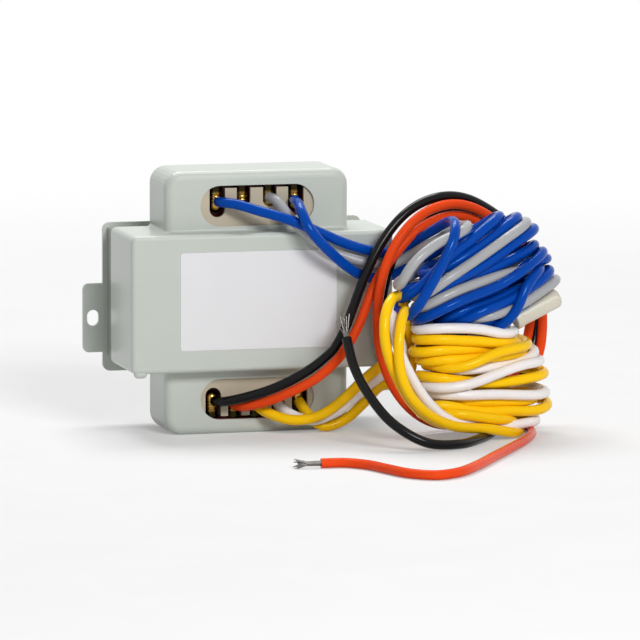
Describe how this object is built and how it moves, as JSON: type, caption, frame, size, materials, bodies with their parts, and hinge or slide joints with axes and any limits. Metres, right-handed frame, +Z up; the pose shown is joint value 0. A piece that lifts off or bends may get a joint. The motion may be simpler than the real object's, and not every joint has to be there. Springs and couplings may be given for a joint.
{
  "type": "transformer",
  "caption": "Chassis-mount mains transformer in a drawn steel cover with slotted rear ears, lead windows at top and bottom, and coloured flying leads gathered in hanks",
  "frame": {"origin": "middle of the housing's footprint, on the surface that the lower bell stands on; the leads aren't counted", "axes": "+X to the right as seen from the front, +Y from the front cover to the mounting face, +Z up"},
  "size_m": [0.1396, 0.1407, 0.0805],
  "materials": {
    "paint": "semi-gloss gray-green enamel over drawn steel sheet",
    "core_steel": "varnished silicon steel laminations",
    "rivet_steel": "zinc plated",
    "bobbin_plastic": "dark phenolic moulding",
    "copper": "enamelled copper wire",
    "tape": "polyester insulating tape",
    "comb_plastic": "cream moulded nylon",
    "brass": "turned brass",
    "label": "satin coated label stock, bare",
    "blue_pvc": "extruded PVC insulation",
    "gray_pvc": "extruded PVC insulation",
    "black_pvc": "extruded PVC insulation",
    "orange_pvc": "extruded PVC insulation",
    "yellow_pvc": "extruded PVC insulation",
    "white_pvc": "extruded PVC insulation",
    "nylon": "translucent nylon",
    "tinned_copper": "tinned copper strands, twisted"
  },
  "bodies": {
    "root": {"front_cover": "paint", "mounting_bracket": "paint", "core_e_stack": "core_steel", "core_i_stack": "core_steel", "core_rivets": "rivet_steel", "bobbin": "bobbin_plastic", "mains_winding": "copper", "first_insulation": "tape", "heavy_winding": "copper", "second_insulation": "tape", "light_winding": "copper", "outer_wrap": "tape", "upper_lead_comb": "comb_plastic", "lower_lead_comb": "comb_plastic", "upper_terminal_posts": "brass", "lower_terminal_posts": "brass", "label": "label", "blue_lead_left": "blue_pvc", "gray_lead": "gray_pvc", "blue_lead_right": "blue_pvc", "black_lead": "black_pvc", "orange_lead": "orange_pvc", "yellow_lead_left": "yellow_pvc", "white_lead": "white_pvc", "yellow_lead_right": "yellow_pvc", "blue_gray_hank": "blue_pvc", "yellow_white_hank": "yellow_pvc", "black_orange_coil": "black_pvc", "capped_lead_end": "gray_pvc", "end_cap": "nylon", "black_tail": "black_pvc", "orange_tail": "orange_pvc", "black_strands": "tinned_copper", "orange_strands": "tinned_copper"}
  },
  "joints": []
}
